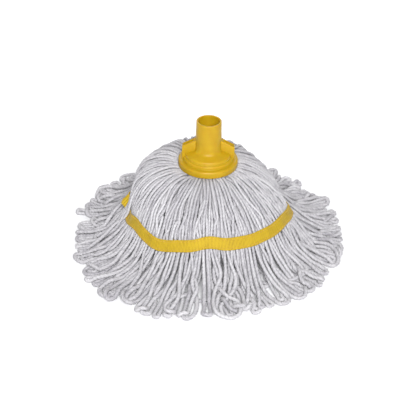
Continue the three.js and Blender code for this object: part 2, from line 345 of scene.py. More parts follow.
for side in (1, -1):
    outline = rounded([
        (WING_START, FLANGE_TOP - WING_SUNK, 0),
        (WING_REACH, FLANGE_TOP - WING_SUNK, 0),
        (WING_REACH, FLANGE_BOTTOM + WING_HEIGHT[0], 1.2 * MM),
        (TUBE_RADIUS[1] - WING_SUNK, FLANGE_BOTTOM + WING_HEIGHT[1], 0),
        (WING_START, FLANGE_BOTTOM + WING_HEIGHT[1], 0),
    ])
    outline[:, 0] *= side
    wing = prism("wing", outline, -WING_WIDTH / 2, WING_WIDTH / 2, polypropylene)
    edge = wing.modifiers.new("edge", "BEVEL")
    edge.width = WING_ROUNDING
    edge.segments = 3
    edge.limit_method = "ANGLE"
    edge.angle_limit = np.radians(50)
    apply_modifiers(wing)
    wings.append(wing)
    for name, (inner, outer), (bottom, top) in (
        ("slot", SLOT, (LEDGE, LEDGE + CUT_ABOVE)),
        ("throat", (SLOT[0], THROAT_END), (FLANGE_BOTTOM - CUT_BELOW, LEDGE + 1 * MM)),
    ):
        corners = np.array([(inner, bottom), (outer, bottom), (outer, top), (inner, top)])
        corners[:, 0] *= side
        slots.append(prism(name, corners, -SLOT_WIDTH / 2, SLOT_WIDTH / 2, polypropylene))
combine(socket, wings, "UNION")
combine(socket, slots, "DIFFERENCE")
tidy_mesh(socket)
socket.data.shade_smooth()
socket.data.set_sharp_from_angle(angle=np.radians(35))
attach(socket, root)
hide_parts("socket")

# --- Clamp plate ------------------------------------------------------------------------------------
# The plate that closes the socket from below, moulded in the same polypropylene. Its two barbed arms
# come up through the yarn and show in the slots of the wings.
frame["nodes"]["clamp_plate"].data.materials.clear()
frame["nodes"]["clamp_plate"].data.materials.append(polypropylene)

# --- Yarn -------------------------------------------------------------------------------------------
# Soft three-ply cotton yarn, wound into loops and clamped across the middle of its length under the
# flange. The legs of each loop run down over the dome and through the tape, and the tips lie splayed
# on the floor. The lie is settled by a small simulation: gravity, length, bending, contact and floor.
YARN = 3.8 * MM  # diameter where it is drawn tight, between the clamp and the tape
YARN_LOOSE = 5.3 * MM  # and beyond the tape, where it plumps out
LOOPS_PER_HANK = 3
OUTER_HANKS = 36
INNER_HANKS = 12
OUTER_DEPTH = (11.5 * MM, 6 * MM)  # thickness of the outer yarn at the clamp and at the tape
SEED = 7

# Upper surface of the yarn as (radius, height) in mm, where it falls straight and where it bulges.
STRAIGHT_FALL = np.array([
    (33.2, 98.6), (36, 99), (47, 95.8), (61, 88), (74, 78), (84, 69), (92, 60), (98, 50), (106, 36),
    (119, 21),
]) * MM
BULGING_FALL = np.array([
    (33.2, 98.6), (36, 99.4), (46, 103), (59, 102.5), (72, 97), (84.5, 86), (91.5, 69), (96.5, 51),
    (103, 36), (116, 21),
]) * MM
TAPE_STATION = 7  # the point of the falls above at which the tape is sewn
INNER_FALL = np.array([
    (33.2, 86.6), (41, 78), (50, 65), (60, 50), (71, 34), (84, 19), (98, 9.5), (110, 5.5), (118, 4),
]) * MM
INNER_TAPE_STATION = 5
LINE_ROUNDINGS = 10
BULGE_SIDE = np.radians(160)
BULGE_LIMITS = (0.02, 0.72)  # of (1 + cos) / 2 of the angle from that side: straight, and all bulging
SAG_SIDE = np.radians(235)
SAG_SPREAD = np.radians(20)
SAG = 13 * MM
SAG_OUT = 0.2  # the sagging yarn also moves out by this share of its fall
SAG_SHARES = np.array([0, 0, 0, 0.1, 0.3, 0.6, 0.85, 1, 0.75, 0.35])
REACHES = np.array([
    171, 176, 174, 173, 168, 166, 165, 165, 165, 165, 168, 171, 157, 163, 175, 176, 178, 179, 174, 174,
    169, 174, 172, 171,
]) * MM  # how far the loops lie out, every 15 degrees
REACHES_ROUND = np.append(REACHES, REACHES[0])
REACH_TURNS = np.linspace(0, 2 * np.pi, len(REACHES_ROUND))
WAIST = (8 * MM, 14 * MM)  # how far the tape draws the yarn in round the back, on the left and right
WAIST_START = (-0.7, -0.12)  # sine of the angle at which that starts, on the left and right
WAIST_FULL = (-0.05, 0.06)  # and at which it is whole
WAIST_REACH = 13 * MM

# Where the tape is sewn off its even line: (angle and spread in degrees, mm down the yarn).
TAPE_SHIFTS = ((199, 11, 10), (186, 5, -12), (-6, 14, 5), (273, 9, -4))
LYING_SHARES = np.array([0.35, 0.75, 1])
LYING_HEIGHTS = np.array([11, 6.5, 4.5]) * MM


def smoothstep(x, low, high):
    """0 below low, 1 above high, and 3t^2 - 2t^3 between."""
    t = np.clip((x - low) / (high - low), 0, 1)
    return t * t * (3 - 2 * t)


def turned_gap(angle, centre):
    """Signed angle from centre, between -pi and pi."""
    return (angle - centre + np.pi) % (2 * np.pi) - np.pi


def fine_lines(stations, tape_station, steps=64):
    """Lines (n, stations, 2) resampled to steps points and rounded by repeated averaging with weights
    1-2-1; gives them, the distance along each, and the distance at which each crosses the tape."""
    k = np.linspace(0, stations.shape[1] - 1, steps)
    i = np.minimum(k.astype(int), stations.shape[1] - 2)
    share = (k - i)[None, :, None]
    lines = stations[:, i] * (1 - share) + stations[:, i + 1] * share
    for _ in range(LINE_ROUNDINGS):
        lines[:, 1:-1] = (lines[:, :-2] + 2 * lines[:, 1:-1] + lines[:, 2:]) / 4
    gaps = np.linalg.norm(np.diff(lines, axis=1), axis=2)
    distance = np.concatenate([np.zeros((len(lines), 1)), np.cumsum(gaps, 1)], 1)
    tape = np.array([np.interp(tape_station, k, row) for row in distance])
    return lines, distance, tape


def outer_fall(angle, reach):
    """Upper surface of the outer yarn at each angle: the straight fall blended to the bulging one by
    (1 + cos) / 2 of the angle from the bulging side, lowered by a bell-shaped sag, and laid on the floor
    out to the reach. The tape's distance is shifted by a bell for each of its shifts. Behind, a bell
    exp(-(distance from the tape / reach)^2) draws the surface in."""
    bulge = smoothstep((1 + np.cos(angle - BULGE_SIDE)) / 2, *BULGE_LIMITS)[:, None, None]
    line = STRAIGHT_FALL + (BULGING_FALL - STRAIGHT_FALL) * bulge
    low = SAG * np.exp(-((turned_gap(angle, SAG_SIDE) / SAG_SPREAD) ** 2))[:, None] * SAG_SHARES
    line[..., 0] += SAG_OUT * low
    line[..., 1] -= low
    last = line[:, -1:, 0]
    lying = last + (reach[:, None] - last) * LYING_SHARES
    lying = np.stack([lying, np.broadcast_to(LYING_HEIGHTS, lying.shape)], -1)
    lines, distance, tape = fine_lines(np.concatenate([line, lying], 1), TAPE_STATION)
    for degrees, spread, shift in TAPE_SHIFTS:
        gap = turned_gap(angle, np.radians(degrees)) / np.radians(spread)
        tape = tape + shift * MM * np.exp(-(gap**2))
    from_tape = distance - tape[:, None]
    on_right = (np.cos(angle) > 0).astype(int)
    back = smoothstep(np.sin(angle), np.take(WAIST_START, on_right), np.take(WAIST_FULL, on_right))
    drawn = np.take(WAIST, on_right) * back
    lines[..., 0] -= drawn[:, None] * np.exp(-((from_tape / WAIST_REACH) ** 2))
    return lines, distance, tape


def inner_fall(angle, reach):
    """Upper surface of the inner yarn: one profile, stretched from its tape out to the reach."""
    line = np.repeat(INNER_FALL[None], len(angle), 0)
    tape = INNER_TAPE_STATION
    start = line[:, tape - 1, :1]
    stretch = (reach[:, None] - start) / (line[:, -1, :1] - start)
    line[:, tape:, 0] = start + (line[:, tape:, 0] - start) * stretch
    return fine_lines(line, tape)


def at_distance(lines, distance, wanted):
    """Points of each line (n, steps, 2) at the wanted distances (n, m), straight on before its start."""
    radius = np.stack([np.interp(w, d, line[:, 0]) for w, d, line in zip(wanted, distance, lines)])
    height = np.stack([np.interp(w, d, line[:, 1]) for w, d, line in zip(wanted, distance, lines)])
    return radius + np.minimum(wanted, 0), height


def wander(count, steps, waves, rng):
    """Smooth random curves (count, steps), each a sum of sine waves with random height and phase."""
    t = np.linspace(0, 1, steps)
    phase = rng.uniform(0, 2 * np.pi, (count, len(waves), 1))
    height = rng.normal(0, 1, (count, len(waves), 1)) / np.sqrt(len(waves))
    return (height * np.sin(2 * np.pi * np.array(waves)[None, :, None] * t + phase)).sum(1)


LEG_STEPS = 58
TIP_STEPS = 8
CLAMPED = 1.4 * MM  # how much of a leg starts inside the crown
CLAMP_HOLD = 4 * MM  # the clamp holds a leg still this far out
FREE_FROM_CLAMP = 40 * MM  # where a leg is free to wave, from the clamp
FREE_FROM_TAPE = 25 * MM  # and to each side of the tape
TIP_ROOM = 4 * MM  # how far a tip may rise over the lying yarn
NECK_HALF = 2.8 * MM  # half the gap between a loop's legs where they lie closest
PAIRING = (0, 0.35)  # shares of the skirt's length over which two legs become a pair,
NARROWING = (0.2, 0.65)  # close in to the neck,
WIDENING = (0.75, 1)  # open to the tip,
CROSSING = (0.25, 0.75)  # and change sides
LEAN_CURVE = 1.4
SWAY_WAVES = (1.5, 2.5, 4)
SKIRT_SWAY = 1.3  # how much more the skirt sways than the dome
KINKS = 0.7 * MM
KINK_WAVES = (6, 9, 13)
DOME_BUNCHING = 4.0 * MM
DOME_WAVES = (23, 31, 43, 57)  # bunches round the mop
SKIRT_BUNCHING = 6.5 * MM
SKIRT_WAVES = (13, 22, 31, 41)
DRIFT_LENGTH = 10 * MM  # along the yarn, over which a bunch moves aside by up to half a radian


def bunching(angle, s, waves, rng):
    """Sideways shift that all the yarn shares, so that it bunches and parts: the sum of the sines of
    (wave number * angle + phase + drift * s), divided by the square root of how many there are."""
    shift = 0
    for wave in waves:
        phase, drift = rng.uniform(0, 2 * np.pi), rng.uniform(-0.5, 0.5) / DRIFT_LENGTH
        shift = shift + np.sin(wave * angle[:, None] + phase + drift * s)
    return shift / np.sqrt(len(waves))


def lay_loops(fall, angle, tape_angle, depths, tip_half, neck, crossed, lean, sway, rng):
    """First lie of a ring of loops. A leg leaves the clamp at its angle, crosses the tape at its tape
    angle, and keeps its depth under the fall's upper surface. Beyond the tape the two legs of a loop
    come together, closest at the neck, and open again to the tip's half width. In a crossed loop they
    change sides. They turn aside by lean * (share beyond)^1.4, sway and bunch in waves that fade out at
    the clamp and the tape, and a half circle joins them. Gives the points (loops, steps, 3) and the
    surface over each of them."""
    lines, distance, tape = fall
    total = distance[:, -1:]
    s = total * np.linspace(0, 1, LEG_STEPS) - CLAMPED
    radius, height = at_distance(lines, distance, s)
    slope_r, slope_z = np.gradient(radius, axis=1), np.gradient(height, axis=1)
    size = np.hypot(slope_r, slope_z)
    normal_r, normal_z = -slope_z / size, slope_r / size
    before = smoothstep(s / tape[:, None], 0, 1)
    beyond = np.clip((s - tape[:, None]) / (total - tape[:, None]), 0, 1)
    clamp_depth, tape_depth, tip_depth = (d[:, None] for d in depths)
    depth = clamp_depth + (tape_depth - clamp_depth) * before
    depth = depth + (tip_depth - depth) * beyond
    middle = np.repeat((tape_angle[0::2] + tape_angle[1::2]) / 2, 2)[:, None]
    tape_half = np.repeat(tape_angle[1::2] - tape_angle[0::2], 2)[:, None] / 2 * radius
    half = tape_half + (np.repeat(tip_half, 2)[:, None] - tape_half) * smoothstep(beyond, 0, 1)
    narrow = smoothstep(beyond, *NARROWING) * (1 - smoothstep(beyond, *WIDENING))
    half = half + (NECK_HALF - half) * np.repeat(neck, 2)[:, None] * narrow
    half = half * (1 - 2 * np.repeat(crossed, 2)[:, None] * smoothstep(beyond, *CROSSING))
    side = np.tile([-1.0, 1.0], len(tip_half))[:, None]
    paired = smoothstep(beyond, *PAIRING)
    dome_angle = angle[:, None] + (tape_angle - angle)[:, None] * before
    turned = dome_angle + (middle + side * half / radius - dome_angle) * paired
    free = smoothstep(np.abs(s - tape[:, None]), 0, FREE_FROM_TAPE)
    free = free * smoothstep(s, CLAMP_HOLD, FREE_FROM_CLAMP)
    waves = sway * wander(len(angle), LEG_STEPS, SWAY_WAVES, rng) * (1 + SKIRT_SWAY * (beyond > 0))
    waves = waves + KINKS * wander(len(angle), LEG_STEPS, KINK_WAVES, rng)
    waves = waves + DOME_BUNCHING * bunching(angle, s, DOME_WAVES, rng) * (beyond == 0)
    waves = waves + SKIRT_BUNCHING * bunching(angle, s, SKIRT_WAVES, rng) * (beyond > 0)
    turned = turned + (np.repeat(lean, 2)[:, None] * beyond**LEAN_CURVE + waves * free) / radius
    r, z = radius - normal_r * depth, np.maximum(height - normal_z * depth, YARN / 2)
    legs = np.stack([r * np.cos(turned), r * np.sin(turned), z], -1)

    first, second = legs[0::2, -1], legs[1::2, -1]
    across = (second - first) / 2
    out = first + second
    out[:, 2] = 0
    out *= (np.linalg.norm(across, axis=1) / np.linalg.norm(out, axis=1))[:, None]
    a = np.linspace(-np.pi / 2, np.pi / 2, TIP_STEPS + 2)[1:-1, None]
    tip = ((first + second) / 2)[:, None] + across[:, None] * np.sin(a) + out[:, None] * np.cos(a)
    points = np.concatenate([legs[0::2], tip, legs[1::2, ::-1]], 1)

    def along_loop(value):
        return np.concatenate(
            [value[0::2], np.repeat(value[0::2, -1:], TIP_STEPS, 1), value[1::2, ::-1]], 1
        )

    over = {"radius": radius, "height": height, "normal_r": normal_r, "normal_z": normal_z,
            "past_tape": s - tape[:, None], "from_clamp": s}
    over = {key: along_loop(value) for key, value in over.items()}
    at_tip = slice(LEG_STEPS, LEG_STEPS + TIP_STEPS)
    over["normal_r"][:, at_tip] = 0
    over["normal_z"][:, at_tip] = 1
    over["height"][:, at_tip] += TIP_ROOM
    return points, over


OWN_STEPS = 4  # points of one yarn this near along it don't count as touching


def near_pairs(points, strand, order, reach):
    """Pairs of points closer than reach that are on different strands, or over OWN_STEPS apart on one.
    The points are sorted into cells of that size, and each cell meets half of its neighbours."""
    cell = np.floor(points / reach).astype(np.int64)
    cell -= cell.min(0) - 1
    size = cell.max(0) + 2
    key = (cell[:, 0] * size[1] + cell[:, 1]) * size[2] + cell[:, 2]
    rank = np.argsort(key, kind="stable")
    keys = key[rank]
    index = np.arange(len(points))
    near_i, near_j = [], []
    steps = np.stack(np.meshgrid([-1, 0, 1], [-1, 0, 1], [-1, 0, 1]), -1).reshape(-1, 3)
    for shift in (steps[:, 0] * size[1] + steps[:, 1]) * size[2] + steps[:, 2]:
        if shift < 0:
            continue
        start = np.searchsorted(keys, key + shift, "left")
        count = np.searchsorted(keys, key + shift, "right") - start
        i = np.repeat(index, count)
        j = rank[np.repeat(start - np.cumsum(count) + count, count) + np.arange(count.sum())]
        fresh = i < j if shift == 0 else np.ones(len(i), bool)
        near_i.append(i[fresh])
        near_j.append(j[fresh])
    i, j = np.concatenate(near_i), np.concatenate(near_j)
    close = ((points[i] - points[j]) ** 2).sum(1) < reach**2
    apart = (strand[i] != strand[j]) | (np.abs(order[i] - order[j]) > OWN_STEPS)
    return i[close & apart], j[close & apart]


LIFT = 4 * MM  # how far a yarn may ride up over its neighbours on the dome
SKIRT_LIFT = 11 * MM  # and beyond the tape
GRAVITY_STEP = 0.02 * MM
FALLING_FROM = 20 * MM  # the yarn's full weight pulls from here on beyond the tape
BENDING = 0.05
SEWN = 6 * MM  # half the width over which the tape holds the yarn
PAIRS_EVERY = 6  # rounds between two searches for near points
PAIR_REACH = 1.25  # how far the search looks, in loose yarn widths
LENGTH_PASSES = 3
CONTACT_PASSES = 2
ROUNDS = 240
LAST_ROUNDINGS = 2


def settle(points, over, width, deepest, lift, firm):
    """Settle the strands (n, m, 3) in place. Each round lowers every point a little, moves it towards
    the mean of the points two steps either side, restores the steps' lengths, pushes apart points
    nearer than a yarn's width, and keeps each within its depth below the surface over it, above the
    floor, and still if it is in the clamp. After the first quarter of the rounds, once the legs lie
    side by side, the tape is sewn on and holds them too. Last, the strands are rounded with weights
    1-2-1."""
    strands, steps, _ = points.shape
    length = np.linalg.norm(np.diff(points, axis=1), axis=2, keepdims=True)
    flat, wide = points.reshape(-1, 3), width.reshape(-1)
    home = flat.copy()
    still = (over["from_clamp"] < CLAMP_HOLD).reshape(-1)
    loose = smoothstep(over["past_tape"], 0, FALLING_FROM)
    from_tip = np.abs(np.arange(steps) - (steps - 1) / 2)
    bending = BENDING * smoothstep(from_tip, TIP_STEPS / 2, TIP_STEPS + 4)[2:-2, None]
    strand = np.repeat(np.arange(strands), steps)
    order = np.tile(np.arange(steps), strands)
    for turn in range(ROUNDS):
        if turn % PAIRS_EVERY == 0:
            pair_i, pair_j = near_pairs(flat, strand, order, YARN_LOOSE * PAIR_REACH)
        if turn == ROUNDS // 4:
            home = flat.copy()
            still = still | (np.abs(over["past_tape"]) < SEWN).reshape(-1)
        points[..., 2] -= GRAVITY_STEP * loose
        points[:, 2:-2] += bending * ((points[:, :-4] + points[:, 4:]) / 2 - points[:, 2:-2])
        for odd in (0, 1) * LENGTH_PASSES:
            far = points[:, odd + 1 :: 2]
            near = points[:, odd:-1:2][:, : far.shape[1]]
            gap = far - near
            now = np.maximum(np.linalg.norm(gap, axis=2, keepdims=True), 1e-9)
            push = gap * (0.5 * (now - length[:, odd::2]) / now)
            near += push
            far -= push
        for _ in range(CONTACT_PASSES):
            gap = flat[pair_i] - flat[pair_j]
            now = np.maximum(np.linalg.norm(gap, axis=1), 1e-6)
            touch = (wide[pair_i] + wide[pair_j]) / 2
            close = now < touch
            i, j = pair_i[close], pair_j[close]
            push = gap[close] * (0.5 * (touch[close] / now[close] - 1))[:, None]
            touching = np.bincount(i, minlength=len(flat)) + np.bincount(j, minlength=len(flat))
            for axis in range(3):
                move = np.bincount(i, push[:, axis], len(flat)) - np.bincount(j, push[:, axis], len(flat))
                flat[:, axis] += move / np.sqrt(np.maximum(touching, 1))
        radius = np.hypot(points[..., 0], points[..., 1])
        out = (radius - over["radius"]) * over["normal_r"]
        out += (points[..., 2] - over["height"]) * over["normal_z"]
        fix = (np.clip(out, -deepest, lift - width / 2) - out) * firm
        points[..., :2] += (fix * over["normal_r"] / radius)[..., None] * points[..., :2]
        points[..., 2] += fix * over["normal_z"]
        flat[:, 2] = np.maximum(flat[:, 2], wide / 2)
        flat[still] = home[still]
    for _ in range(LAST_ROUNDINGS):
        points[:, 1:-1] = (points[:, :-2] + 2 * points[:, 1:-1] + points[:, 2:]) / 4


rng = np.random.default_rng(SEED)
OUTER_LOOPS = OUTER_HANKS * LOOPS_PER_HANK
INNER_LOOPS = INNER_HANKS * LOOPS_PER_HANK

# Where the skirt parts and the floor shows: (angle in degrees, half width in mm), and the angles at
# which one loop lies wide open in the parting.
PARTINGS = (
    (178, 5), (191, 4), (205, 5), (215, 4), (226, 12), (235, 12), (246, 5), (257, 6), (268.5, 14),
    (279, 5), (289, 5), (299, 5), (309, 14), (320, 5), (331, 5), (341, 9), (354, 5), (8, 4), (20, 5),
    (36, 5), (52, 6), (70, 5), (88, 5), (104, 5), (121, 6), (136, 5), (150, 5), (164, 5),
)
OPEN_LOOPS = (226, 235.5, 52, 121, 150, 341)
OPEN_HALF = 10.5 * MM
PARTING_SPREAD = np.radians(6)
PARTING_EDGE = np.radians(1.8)  # how sharply the push changes sides


def parted(angle):
    """How far aside the tips lie: the sum over the partings of width * tanh(angle / edge) *
    exp(-|angle| / spread), which is away from each and falls off to both sides."""
    push = 0
    for degrees, width in PARTINGS:
        gap = turned_gap(angle, np.radians(degrees))
        push = push + width * MM * np.tanh(gap / PARTING_EDGE) * np.exp(-np.abs(gap) / PARTING_SPREAD)
    return push


# A few legs on the left have slipped out over the tape and hide a short length of it.
COVERING_SIDE = np.radians(193)
COVERING_HALF = np.radians(3.5)
COVERING_OUT = 3.6 * MM  # how far the middle of a slipped leg lies over the yarn's surface at the tape
COVERING_REACH = 30 * MM

# How the outer legs and loops differ from each other. Lengths without MM are in mm.
HALF_HANK = np.radians(5)
TAPE_UNEVEN = 0.25  # how unevenly the legs cross the tape, as a share of their spacing
SHORT_OF_REACH = (-4, 4)  # mean and spread of where a loop ends, from the outline
LAYERS = (0, 2, 1, 3)  # layers in which the legs leave the clamp, side by side
LAYER_GAP = 2.9
SWAPPED_SHARE = 0.25  # of the legs, in some other layer
UNDER_LEGS = 51  # this many of the legs pass the tape under their neighbours
UNDER_DEPTH = 2.8 * MM
LEAN = 7
STRAYING_SHARE = 0.08  # of the loops, which lean further
STRAYING_LEAN = 12
TIP_HALF = (3.6, 6.5)  # half width of a loop at its tip
WIDE_SHARE = 0.2
WIDE_TIP_HALF = (7, 10)
CROSSED_SHARE = 0.3  # of the loops, whose legs change sides
LOOP_DEPTH = 6  # how deep in the skirt a loop may lie
LEG_DEPTH = 5  # and how much deeper each leg of it
SWAY = 1.9 * MM

leg_slot = np.pi / OUTER_LOOPS
leg_angle = leg_slot * (np.arange(2 * OUTER_LOOPS) + 0.5) - HALF_HANK
loop_angle = (leg_angle[0::2] + leg_angle[1::2]) / 2
tape_angle = leg_angle + rng.normal(0, TAPE_UNEVEN, len(leg_angle)) * leg_slot
reach = np.interp(loop_angle % (2 * np.pi), REACH_TURNS, REACHES_ROUND)
reach = reach + rng.normal(*SHORT_OF_REACH, OUTER_LOOPS) * MM
layer = np.resize(LAYERS, 2 * OUTER_LOOPS)
swapped = rng.random(len(layer)) < SWAPPED_SHARE
layer = np.where(swapped, rng.integers(0, len(LAYERS), len(layer)), layer)
under = (np.arange(len(layer)) * UNDER_LEGS) % len(layer) < UNDER_LEGS
slipped = np.abs(turned_gap(tape_angle, COVERING_SIDE)) < COVERING_HALF
tape_depth = np.where(slipped, -COVERING_OUT, YARN / 2 + under * UNDER_DEPTH)
opened = np.zeros(OUTER_LOOPS, bool)
for degrees in OPEN_LOOPS:
    opened[np.abs(turned_gap(loop_angle, np.radians(degrees))).argmin()] = True
lean = rng.normal(0, LEAN, OUTER_LOOPS) * MM
straying = rng.random(OUTER_LOOPS) < STRAYING_SHARE
lean = lean + straying * rng.normal(0, STRAYING_LEAN, OUTER_LOOPS) * MM
lean = parted(loop_angle) + np.where(opened, 0, lean)
tip_half = rng.uniform(*TIP_HALF, OUTER_LOOPS) * MM
wide = rng.random(OUTER_LOOPS) < WIDE_SHARE
tip_half = np.where(wide, rng.uniform(*WIDE_TIP_HALF, OUTER_LOOPS) * MM, tip_half)
tip_half = np.where(opened, OPEN_HALF, tip_half)
reach = reach - tip_half
neck = np.where(opened, 0, rng.uniform(0, 1, OUTER_LOOPS))
crossed = (rng.random(OUTER_LOOPS) < CROSSED_SHARE) & ~opened
tip_depth = np.repeat(rng.uniform(0, LOOP_DEPTH, OUTER_LOOPS), 2)
tip_depth = tip_depth + rng.uniform(0, LEG_DEPTH, len(layer))
outer_depths = YARN / 2 + layer * LAYER_GAP * MM, tape_depth, YARN / 2 + tip_depth * MM
outer_points, outer_over = lay_loops(
    outer_fall(tape_angle, np.repeat(reach, 2)), leg_angle, tape_angle, outer_depths, tip_half, neck,
    crossed, lean, SWAY, rng,
)

# The inner loops are shorter and lie side by side in one layer.
INNER_HALF_HANK = np.radians(15)
INNER_UNEVEN = 0.2
INNER_REACH = (120, 138)
INNER_TIP_HALF = (4, 7)
INNER_LEAN = 5
INNER_SWAY = 2 * MM

inner_slot = np.pi / INNER_LOOPS
inner_leg = inner_slot * (np.arange(2 * INNER_LOOPS) + 0.5) - INNER_HALF_HANK
inner_tape = inner_leg + rng.normal(0, INNER_UNEVEN, len(inner_leg)) * inner_slot
inner_reach = rng.uniform(*INNER_REACH, INNER_LOOPS) * MM
inner_depths = [YARN / 2 + 0 * inner_leg] * 3
inner_tips = rng.uniform(*INNER_TIP_HALF, INNER_LOOPS) * MM
inner_lean = rng.normal(0, INNER_LEAN, INNER_LOOPS) * MM
straight = np.zeros(INNER_LOOPS)
inner_points, inner_over = lay_loops(
    inner_fall(inner_leg, np.repeat(inner_reach, 2)), inner_leg, inner_tape, inner_depths, inner_tips,
    straight, straight, inner_lean, INNER_SWAY, rng,
)

# How far each point may move while the yarn settles, and how thick it is there. The skirt's looser
# limits and its plumper yarn come in over these distances from the tape.
LOOSENING = (8 * MM, 38 * MM)
LIFTING = (8 * MM, 35 * MM)
PLUMPING = (8 * MM, 45 * MM)
SKIRT_DEEPEST = 50 * MM
INNER_DEEPEST = 30 * MM
FIRM_TO = 10 * MM  # how far past the tape the yarn is kept firmly in its layer
FIRMNESS = (0.8, 0.5)  # share of a stray that a round takes back, firm and loose
PROUD_WAVES = (1, 2, 3, 5)
PLUMP_SPREAD = 0.05
PLUMP_WAVES = (3, 7, 11)
PLUMP_LIMITS = (0.86, 1.14)

loops = np.concatenate([outer_points, inner_points])
over = {key: np.concatenate([outer_over[key], inner_over[key]]) for key in outer_over}
is_inner = (np.arange(len(loops)) >= OUTER_LOOPS)[:, None]
to_tape = smoothstep(over["from_clamp"] / (over["from_clamp"] - over["past_tape"]), 0, 1)
outer_deepest = OUTER_DEPTH[0] + (OUTER_DEPTH[1] - OUTER_DEPTH[0]) * to_tape
outer_deepest = outer_deepest - YARN / 2 + SKIRT_DEEPEST * smoothstep(over["past_tape"], *LOOSENING)
deepest = np.where(is_inner, INNER_DEEPEST, outer_deepest)
firm = np.where(over["past_tape"] < FIRM_TO, *FIRMNESS)
proud = np.maximum(wander(len(loops), loops.shape[1], PROUD_WAVES, rng), 0)
lift = np.where(over["past_tape"] > 0, SKIRT_LIFT, LIFT) * proud
lift = lift * smoothstep(np.abs(over["past_tape"]), *LIFTING)
slipped_leg = np.repeat(slipped.reshape(-1, 2), LEG_STEPS + TIP_STEPS // 2, 1)
slip = (COVERING_OUT + YARN / 2) * np.exp(-((over["past_tape"][:OUTER_LOOPS] / COVERING_REACH) ** 2))
lift[:OUTER_LOOPS] = np.maximum(lift[:OUTER_LOOPS], slipped_leg * slip)
plump = rng.normal(1, PLUMP_SPREAD, (len(loops), 1))
plump = plump + PLUMP_SPREAD * wander(len(loops), loops.shape[1], PLUMP_WAVES, rng)
width = YARN + (YARN_LOOSE - YARN) * smoothstep(over["past_tape"], *PLUMPING)
width = width * np.clip(plump, *PLUMP_LIMITS)
settle(loops, over, width, deepest, lift, firm)

# Spun cotton: matt and soft, with fine fibres that follow the twist, grooves between the plies, and
# slight changes of tone from loop to loop. The fibres are drawn some five times coarser than real ones.
YARN_LIGHT = "#c2c1c4"
YARN_MIDDLE = "#a9a7ab"
YARN_DARK = "#7c7a82"
FIBRE = 0.5 * MM
FIBRE_LENGTHENED = 0.15  # the pattern is squeezed to this along the yarn, so that fibres come out long
TONE_LENGTH = 20 * MM  # length of the slow changes of tone, in the pattern's own length
TONE_SHARE = 0.6
FIBRE_DEPTH = 0.12 * MM
PLIES = 3
RING_POINTS = 9
PLY_PITCH = 13 * MM
PLY_GROOVE = 0.74
SHOWN = 0.94  # shown this much thinner than settled, because the fuzz that keeps yarns apart isn't drawn

cotton, tree, shader = new_material("spun_cotton_yarn")
strand_place = node(tree, "Attribute", {"attribute_name": "strand_place"}).outputs["Vector"]
fibres = node(tree, "TexNoise", Vector=strand_place, Scale=1 / FIBRE, Detail=3.0, Roughness=0.65)
tone = node(tree, "TexNoise", Vector=strand_place, Scale=1 / TONE_LENGTH, Detail=1.0, Roughness=0.5)
both = node(tree, "Math", {"operation": "MULTIPLY_ADD"}, in_0=tone.outputs["Fac"], in_1=TONE_SHARE,
            in_2=fibres.outputs["Fac"])
colour = node(tree, "ValToRGB", {"stops": ((0.55, YARN_DARK), (0.75, YARN_MIDDLE), (0.98, YARN_LIGHT))},
              Fac=both.outputs["Value"])
bump = node(tree, "Bump", Height=fibres.outputs["Fac"], Strength=0.3, Distance=FIBRE_DEPTH)
connect(
    tree, shader, Base_Color=colour.outputs["Color"], Normal=bump.outputs["Normal"], Roughness=0.92,
    Specular_IOR_Level=0.2, Sheen_Weight=0.25, Sheen_Roughness=0.5,
)

PATTERN_SHIFT = 0.1  # so that no two yarns show the same part of the pattern
UV_ROWS = 3  # each strand's skin is cut into this many rows on the bake map


